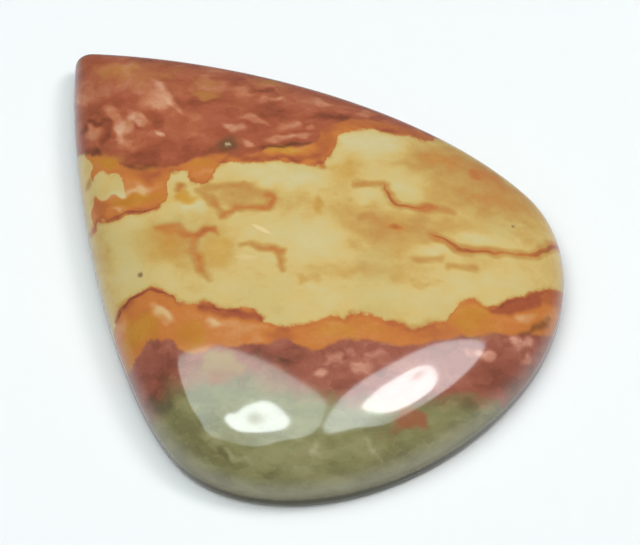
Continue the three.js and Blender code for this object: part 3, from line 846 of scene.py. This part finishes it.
    # The colour of each layer
    pure = add(tree, "MapRange", (iron, 0.65, 0.4), **EASED)
    greyed = add(tree, "Math", (drift, pure), operation="MULTIPLY")
    in_red = add(tree, "Math", (ochre, 0.75), operation="MULTIPLY")
    cream = layer_colour(tree, iron, CREAM_SHADES, CREAM, look.cream_colour)
    cream = add(tree, "Mix", (greyed, cream, linear(GREYED_CREAM)), **LAID_OVER)
    cream = add(tree, "Mix", (golden, cream, linear(GOLDEN_CREAM)), **LAID_OVER)
    orange = layer_colour(tree, iron, ORANGE_SHADES, ORANGE, look.orange_colour)
    yellow = layer_colour(tree, iron, OCHRE_SHADES, OCHRE, look.ochre_colour)
    orange = add(tree, "Mix", (ochre, orange, yellow), **LAID_OVER)
    red = layer_colour(tree, shards, RED_SHADES, RED, look.red_colour)
    red = add(tree, "Mix", (drift, red, linear(DRIFTED_RED)), **LAID_OVER)
    red = add(tree, "Mix", (in_red, red, linear(OCHRE_IN_RED)), **LAID_OVER)
    brick = layer_colour(tree, shards, BRICK_SHADES, BRICK, look.brick_colour)
    brick = add(tree, "Mix", (in_red, brick, linear(OCHRE_IN_BRICK)), **LAID_OVER)
    olive = layer_colour(tree, shards, OLIVE_SHADES, OLIVE, look.olive_colour)
    olive = add(tree, "Mix", (in_red, olive, linear(RUST_IN_OLIVE)), **LAID_OVER)

    # Each layer over those before it. The olive's border is ragged, and softer on the left.
    ragged = add(tree, "Math", (murky, 2.5, over_olive), operation="MULTIPLY_ADD")
    sharpness = add(tree, "MapRange", (along, 1.0, 8.0, 0.6, 1.1), **EASED)
    ragged = add(tree, "Math", (ragged, sharpness), operation="MULTIPLY")
    colour = cream
    for border, start, end, layer in (
        (into_orange, -0.16, 0.14, orange),
        (over_red, -0.25, 0.25, red),
        (over_brick, 0.2, -0.2, brick),
        (ragged, 0.9, -0.9, olive),
    ):
        mask = add(tree, "MapRange", (border, start, end), **EASED)
        colour = add(tree, "Mix", (mask, colour, layer), **LAID_OVER)

    # Dark seams that come and go, and healed scratches
    worn = add(tree, "MapRange", (clouds, 0.3, 0.55, 0.6, 1.0), **EASED)
    seams = add(tree, "Math", (dark, worn), operation="MULTIPLY")
    off_girdle = add(tree, "MapRange", (up, 0.3, 1.3), **EASED)
    scratches = add(tree, "Math", (healed_scratches(tree, laid), off_girdle), operation="MULTIPLY")

    # Pits: a dark wall, and a painted glint of pale crystals in the middle
    pitted = add(tree, "Math", (sideways[0], 1.2, pits), operation="MULTIPLY_ADD")
    pit_wall = add(tree, "MapRange", (pitted, -0.5, 0.5, 0.0, 0.75), **EASED)
    pit_floor = add(tree, "MapRange", (pitted, 0.5, 0.8), **EASED)
    # painted highlight: pale glints in the middle of each pit
    pit_glints = add(tree, "MapRange", (grain, 0.5, 0.6), **EASED)
    pit_glints = add(tree, "Math", (pit_floor, pit_glints), operation="MULTIPLY")

    # Painted shade and a painted grey reflection of the surround down the shoulder, and painted dark shade
    # on the low girdle where the stone meets the floor
    off_back = add(tree, "MapRange", (up, 0.05, 0.3), **EASED)
    # painted shade and painted reflection: the shoulder turns greyer and darker towards the girdle
    shoulder_shade_and_reflection = add(tree, "MapRange", (up, 3.0, 1.2, 0.0, 0.45), **EASED)
    shoulder_shade_and_reflection = add(tree, "Math", (shoulder_shade_and_reflection, off_back), operation="MULTIPLY")
    # painted shade: the low girdle turns dark like a contact shadow
    girdle_shade = add(tree, "Math", (grainy, 0.35, up), operation="MULTIPLY_ADD")
    girdle_shade = add(tree, "MapRange", (girdle_shade, 1.3, 0.9, 0.0, 0.75), **EASED)
    girdle_shade = add(tree, "Math", (girdle_shade, off_back), operation="MULTIPLY")
    for mask, cover in (
        (seams, DARK_SEAM),
        (pit_wall, PIT_WALL),
        # painted glint in the pits
        (pit_glints, PIT_GLINT),
        (scratches, HEALED_SCRATCH),
        # painted shade and painted reflection on the shoulder
        (shoulder_shade_and_reflection, SHOULDER_SHADE_AND_REFLECTION),
        # painted shade on the low girdle
        (girdle_shade, GIRDLE_SHADE),
    ):
        colour = add(tree, "Mix", (mask, colour, linear(cover)), **LAID_OVER)

    # The gloss: full on the dome, duller down its shoulder and on the girdle, satin on the back
    shoulder = (up, 3.4, 1.3, look.polish_roughness, look.girdle_roughness)
    shoulder = add(tree, "MapRange", shoulder, **EASED)
    lapped = add(tree, "MapRange", (up, 0.5, 0.1, 0.0, look.back_roughness), **EASED)
    in_pit = add(tree, "MapRange", (pitted, 0.4, 0.7), **EASED)
    roughness = add(tree, "Math", (shoulder, lapped), operation="MAXIMUM")
    roughness = add(tree, "Math", (cloudy, 0.06, roughness), operation="MULTIPLY_ADD")
    roughness = add(tree, "Math", (in_pit, 0.3, roughness), operation="MULTIPLY_ADD")

    # Relief in micrometres: soft ripples of the polish, and the scratches of the lap on the back
    ripples = add(tree, "TexNoise", {"Vector": laid, "Scale": 0.35, "Detail": 2.0})
    combed = {"Vector": bedding, "Rotation": (0, 0, math.radians(20)), "Scale": (0.3, 9.0, 9.0)}
    combed = add(tree, "Mapping", combed)
    lap_marks = add(tree, "TexNoise", {"Vector": combed, "Scale": 1.0, "Detail": 3.0})
    marked = add(tree, "MapRange", (up, 1.4, 0.9, 0.0, 3.0), **EASED)
    relief = add(tree, "Math", (ripples, 4.0), operation="MULTIPLY")
    relief = add(tree, "Math", (lap_marks, marked, relief), operation="MULTIPLY_ADD")
    bump = add(tree, "Bump", {"Height": relief, "Distance": MM * MM, "Strength": 1.0})

    surface = {"Base Color": colour, "Roughness": roughness, "IOR": QUARTZ_IOR, "Normal": bump}
    surface = add(tree, "BsdfPrincipled", surface)
    add(tree, "OutputMaterial", (surface,))
    return material


def floor_material(look):
    """Matt white paper: no gloss, so it gives only soft shadows back."""
    material = bpy.data.materials.new("White card, matt")
    material.use_nodes = True
    tree = material.node_tree
    tree.nodes.clear()
    surface = {"Base Color": (*look.floor_colour, 1), "Roughness": 0.9, "Specular IOR Level": 0.2}
    surface = add(tree, "BsdfPrincipled", surface)
    add(tree, "OutputMaterial", (surface,))
    return material


# --- the studio ----------------------------------------------------------------------------------

CAMERA_AZIMUTH, CAMERA_ELEVATION = -41.4, 56.0
CAMERA_TARGET = Vector((1.65, -4.06, 0.0)) * MM
CAMERA_DISTANCE = 0.19435
CAMERA_LENS, CAMERA_SENSOR = 150.0, 36.0
NEAREST_SEEN = 0.01
FLOOR_RADIUS, FLOOR_SIDES = 4.0, 128
FLOOR_DROP = 0.00002  # keeps the floor clear of the stone's back
LAMP_HEIGHT, BULB_HEIGHT = 0.6, 0.595
# Lamps: name, place to the camera's right, away from it and up, half sizes, radiance and tint
SOFT_LAMPS = (
    ("left_lamp", (-0.28, -0.06, 0.62), (0.3, 0.22), 1.86, "f6fffd"),
    ("top_lamp", (0.0, 0.06, 0.7), (0.45, 0.45), 1.65, "fbfffe"),
    ("right_lamp", (0.46, 0.14, 0.62), (0.14, 0.12), 10.8, "fffcfa"),
)
# Outlines of the lamps that the polish mirrors, in metres: to the right of the camera and away from it
LEFT_SOFTBOX = (
    (-0.73, 0.12), (-0.52, 0.14), (-0.28, 0.12), (-0.11, 0.05), (0.03, -0.085), (0.06, -0.17),
    (0.04, -0.29), (-0.08, -0.335), (-0.18, -0.39), (-0.34, -0.37), (-0.57, -0.29), (-0.6, -0.18),
    (-0.7, -0.06),
)
RIGHT_SOFTBOX = (
    (0.07, -0.22), (0.1, -0.09), (0.2, -0.01), (0.34, 0.06), (0.52, 0.075), (0.66, 0.04), (0.68, -0.05),
    (0.6, -0.18), (0.46, -0.28), (0.33, -0.35), (0.2, -0.315), (0.1, -0.31),
)
LEFT_BULB = (
    (-0.32, -0.16), (-0.29, -0.132), (-0.24, -0.127), (-0.2, -0.098), (-0.12, -0.081), (-0.07, -0.12),
    (-0.04, -0.185), (-0.06, -0.235), (-0.13, -0.25), (-0.24, -0.25), (-0.3, -0.21),
)
RIGHT_BULB = (
    (0.165, -0.165), (0.19, -0.11), (0.25, -0.06), (0.32, -0.032), (0.38, -0.06), (0.43, -0.12),
    (0.44, -0.18), (0.39, -0.23), (0.31, -0.252), (0.24, -0.235), (0.18, -0.195),
)
# The dimmer spot on each: to the right, away, radius and share of the strength in its middle
LEFT_SOFTBOX_DIM = (-0.32, -0.32, 0.32, 0.5)
RIGHT_SOFTBOX_DIM = (0.37, -0.33, 0.22, 0.45)
LEFT_BULB_DIM = (-0.16, -0.165, 0.06, 0.5)
RIGHT_BULB_DIM = (0.32, -0.075, 0.04, 0.6)

# Name, outline, height, tint, strength and dimmer spot
MIRRORED_LAMPS = (
    ("left_softbox", LEFT_SOFTBOX, LAMP_HEIGHT, "e2f4f2", 5.7, LEFT_SOFTBOX_DIM),
    ("right_softbox", RIGHT_SOFTBOX, LAMP_HEIGHT, "eaf9ff", 7.7, RIGHT_SOFTBOX_DIM),
    ("left_bulb", LEFT_BULB, BULB_HEIGHT, "effaff", 18.5, LEFT_BULB_DIM),
    ("right_bulb", RIGHT_BULB, BULB_HEIGHT, "f6feff", 20, RIGHT_BULB_DIM),
)


def camera_axes():
    """Unit vectors on the floor to the camera's right and away from it."""
    turn = math.radians(CAMERA_AZIMUTH)
    return Vector((math.cos(turn), math.sin(turn), 0)), Vector((-math.sin(turn), math.cos(turn), 0))


def smooth_loop(corners, steps=8):
    """A closed Catmull-Rom curve through the corners."""
    found = []
    count = len(corners)
    for i in range(count):
        a, b, c, d = (np.array(corners[(i + k) % count]) for k in (-1, 0, 1, 2))
        for t in np.linspace(0, 1, steps, endpoint=False):
            bent = (2 * a - 5 * b + 4 * c - d) * t**2
            found.append(0.5 * (2 * b + (c - a) * t + bent + (3 * b - a - 3 * c + d) * t**3))
    return found


def mirror_card(name, corners, height, colour, strength, dim):
    """A glowing card that only the polish mirrors, with the outline of one lamp and a dimmer spot."""
    right, away = camera_axes()
    points = [right * p[0] + away * p[1] + Vector((0, 0, height)) for p in smooth_loop(corners)]
    mesh = bpy.data.meshes.new(name)
    mesh.from_pydata(points, [], [tuple(range(len(points)))])
    card = bpy.data.objects.new(name, mesh)
    bpy.context.scene.collection.objects.link(card)
    material = bpy.data.materials.new(name)
    material.use_nodes = True
    tree = material.node_tree
    tree.nodes.clear()
    dim_right, dim_away, dim_radius, dim_share = dim
    middle = right * dim_right + away * dim_away + Vector((0, 0, height))
    place = add(tree, "TexCoord").outputs["Object"]
    gone = add(tree, "VectorMath", (place, middle), operation="DISTANCE")
    glow = add(tree, "MapRange", (gone, 0.0, dim_radius, strength * dim_share, strength), **EASED)
    glow = add(tree, "Emission", {"Color": colour, "Strength": glow})
    add(tree, "OutputMaterial", (glow,))
    mesh.materials.append(material)
    for ray in ("camera", "diffuse", "transmission", "volume_scatter", "shadow"):
        setattr(card, "visible_" + ray, False)


def soft_lamp(name, place, half_sizes, radiance, colour):
    """An oval area lamp that faces the stone and is not mirrored in the polish."""
    right, away = camera_axes()
    lamp = bpy.data.lights.new(name, "AREA")
    lamp.shape = "ELLIPSE"
    lamp.size, lamp.size_y = 2 * half_sizes[0], 2 * half_sizes[1]
    lamp.energy = radiance * math.pi * math.pi * half_sizes[0] * half_sizes[1]
    lamp.color = colour
    placed = bpy.data.objects.new(name, lamp)
    bpy.context.scene.collection.objects.link(placed)
    placed.location = right * place[0] + away * place[1] + Vector((0, 0, place[2]))
    placed.rotation_euler = placed.location.to_track_quat("Z", "Y").to_euler()
    placed.visible_glossy = False
    placed.visible_camera = False


def studio_camera():
    """The camera, which looks down at the stone from the left of its round end."""
    turn, rise = math.radians(CAMERA_AZIMUTH), math.radians(CAMERA_ELEVATION)
    back = Vector((math.sin(turn) * math.cos(rise), -math.cos(turn) * math.cos(rise), math.sin(rise)))
    camera = bpy.data.objects.new("camera", bpy.data.cameras.new("camera"))
    camera.data.lens, camera.data.sensor_width = CAMERA_LENS, CAMERA_SENSOR
    camera.data.clip_start, camera.data.clip_end = NEAREST_SEEN, 2 * FLOOR_RADIUS
    camera.location = CAMERA_TARGET + back * CAMERA_DISTANCE
    camera.rotation_euler = back.to_track_quat("Z", "Y").to_euler()
    bpy.context.scene.collection.objects.link(camera)
    bpy.context.scene.camera = camera


def studio_floor(look):
    """A round white card under the stone."""
    built = bmesh.new()
    bmesh.ops.create_circle(built, cap_ends=True, segments=FLOOR_SIDES, radius=FLOOR_RADIUS)
    mesh = bpy.data.meshes.new("floor")
    built.to_mesh(mesh)
    built.free()
    mesh.materials.append(floor_material(look))
    floor = bpy.data.objects.new("floor", mesh)
    floor.location.z = -FLOOR_DROP
    floor.visible_glossy = False  # the polish mirrors the surround there instead, which ends softly
    bpy.context.scene.collection.objects.link(floor)


def surround(brightness):
    """The room: grey round about, and a pale glow from below that ends softly behind the stone."""
    world = bpy.data.worlds.new("surround")
    bpy.context.scene.world = world
    world.use_nodes = True
    tree = world.node_tree
    tree.nodes.clear()
    towards = add(tree, "TexCoord").outputs["Generated"]
    height = add(tree, "SeparateXYZ", (towards,)).outputs["Z"]
    behind = add(tree, "VectorMath", (towards, camera_axes()[1]), operation="DOT_PRODUCT")
    near = add(tree, "MapRange", (behind, 0.3, -0.5), **EASED)
    low = add(tree, "Math", (near, -0.33, height), operation="MULTIPLY_ADD")
    below = add(tree, "MapRange", (low, 0.12, -0.5), **EASED)
    not_far = add(tree, "MapRange", (behind, 0.95, 0.6), **EASED)
    glow = add(tree, "Math", (below, not_far), operation="MULTIPLY")
    shaded = add(tree, "MapRange", (height, -0.5, -0.8, 0.0, 0.9), **EASED)
    shaded = add(tree, "Math", (near, shaded), operation="MULTIPLY")
    lit = add(tree, "Math", (1.0, shaded), operation="SUBTRACT")
    glow = add(tree, "Math", (glow, lit), operation="MULTIPLY")
    colour = add(tree, "Mix", (glow, linear("c4c8cc"), linear("f2f4fa")), **LAID_OVER)
    peak = add(tree, "Math", (near, 1.0, 1.2), operation="MULTIPLY_ADD")
    strength = add(tree, "Math", (glow, peak, 0.4), operation="MULTIPLY_ADD")
    strength = add(tree, "Math", (strength, brightness), operation="MULTIPLY")
    sky = add(tree, "Background", {"Color": colour, "Strength": strength})
    add(tree, "OutputWorld", (sky,))


# --- the add-on ----------------------------------------------------------------------------------


def size_setting(name, description, default):
    """A size property with its default in metres."""
    return bpy.props.FloatProperty(
        name=name, description=description, default=default, unit="LENGTH", precision=5
    )


def colour_setting(name, description, hex_colour):
    """A colour property with its default."""
    default = linear(hex_colour)[:3]
    return bpy.props.FloatVectorProperty(
        name=name, description=description, default=default, subtype="COLOR", min=0, max=1
    )


def roughness_setting(name, description, default):
    """A roughness property with its default."""
    return bpy.props.FloatProperty(
        name=name, description=description, default=default, subtype="FACTOR", min=0, max=1
    )


class JasperLook(bpy.types.PropertyGroup):
    """Sizes and colours of the stone."""

    width: size_setting("Width", "Across the stone at its widest", CAD_SIZE.x)
    length: size_setting("Length", "From the round end to the point", CAD_SIZE.y)
    height: size_setting("Height", "From the flat back to the crown", CAD_SIZE.z)
    girdle_top: size_setting("Girdle top", "Where the dome starts", 0.0012)
    chamfer: size_setting("Chamfer", "Size of the chamfer under the girdle", 0.00044)
    cream_colour: colour_setting("Cream", "Main colour of the cream layer", CREAM)
    orange_colour: colour_setting("Orange", "Main colour of the orange layer", ORANGE)
    ochre_colour: colour_setting("Ochre", "Main colour of the ochre places in the orange layer", OCHRE)
    red_colour: colour_setting("Red", "Main colour of the red breccia near the point", RED)
    brick_colour: colour_setting("Brick", "Main colour of the brick-red layer", BRICK)
    olive_colour: colour_setting("Olive", "Main colour of the olive layer at the round end", OLIVE)
    polish_roughness: roughness_setting("Polish roughness", "Roughness of the polished dome", 0.08)
    girdle_roughness: roughness_setting("Girdle roughness", "Roughness of the ground girdle", 0.28)
    back_roughness: roughness_setting("Back roughness", "Roughness of the lapped back", 0.42)


class StudioLook(bpy.types.PropertyGroup):
    """Colours and brightness of the studio."""

    floor_colour: colour_setting("Floor", "Colour of the card under the stone", "f2f4f5")
    lamp_brightness: bpy.props.FloatProperty(
        name="Lamp brightness", description="How bright the soft lamps are", default=1.0, min=0
    )
    sky_brightness: bpy.props.FloatProperty(
        name="Surround brightness", description="How bright the room around is", default=0.6, min=0
    )


class JASPER_OT_stone(bpy.types.Operator):
    """Builds the polished stone in the place of its CAD solid"""

    bl_idname = "jasper.stone"
    bl_label = "Build the stone"

    def execute(self, context):
        look = context.scene.jasper_look
        sizes = (look.width, look.length, look.height, look.girdle_top, look.chamfer)
        mesh = stone_mesh("polished_stone", [size / MM for size in sizes])
        stone = bpy.data.objects.new("polished_stone", mesh)
        context.scene.collection.objects.link(stone)
        stone.data.materials.append(jasper_material(look))
        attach(stone, "root")
        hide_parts("jasper_stone")
        return {"FINISHED"}


class JASPER_OT_studio(bpy.types.Operator):
    """Builds the camera, the floor, the lamps and the surround"""

    bl_idname = "jasper.studio"
    bl_label = "Build the studio"

    def execute(self, context):
        look = context.scene.jasper_studio
        context.scene.view_settings.view_transform = "Standard"
        studio_camera()
        studio_floor(look)
        for name, place, half_sizes, radiance, tint in SOFT_LAMPS:
            soft_lamp(name, place, half_sizes, radiance * look.lamp_brightness, linear(tint)[:3])
        for name, outline, height, tint, strength, dim in MIRRORED_LAMPS:
            mirror_card(name, outline, height, linear(tint), strength, dim)
        surround(look.sky_brightness)
        return {"FINISHED"}


class JASPER_PT_panel(bpy.types.Panel):
    """Lists the build steps and their settings"""

    bl_idname = "JASPER_PT_panel"
    bl_label = "Picture jasper"
    bl_space_type = "VIEW_3D"
    bl_region_type = "UI"
    bl_category = "Jasper"

    def draw(self, context):
        for settings, operator in (("jasper_look", JASPER_OT_stone), ("jasper_studio", JASPER_OT_studio)):
            box = self.layout.box()
            owner = getattr(context.scene, settings)
            for setting in owner.__annotations__:
                box.prop(owner, setting)
            box.operator(operator.bl_idname)


CLASSES = (JasperLook, StudioLook, JASPER_OT_stone, JASPER_OT_studio, JASPER_PT_panel)


def register():
    for entry in CLASSES:
        bpy.utils.register_class(entry)
    bpy.types.Scene.jasper_look = bpy.props.PointerProperty(type=JasperLook)
    bpy.types.Scene.jasper_studio = bpy.props.PointerProperty(type=StudioLook)


def unregister():
    del bpy.types.Scene.jasper_studio
    del bpy.types.Scene.jasper_look
    for entry in reversed(CLASSES):
        bpy.utils.unregister_class(entry)


def main():
    register()
    bpy.ops.jasper.studio()
    bpy.ops.jasper.stone()
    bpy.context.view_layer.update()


if __name__ == "__main__":
    main()
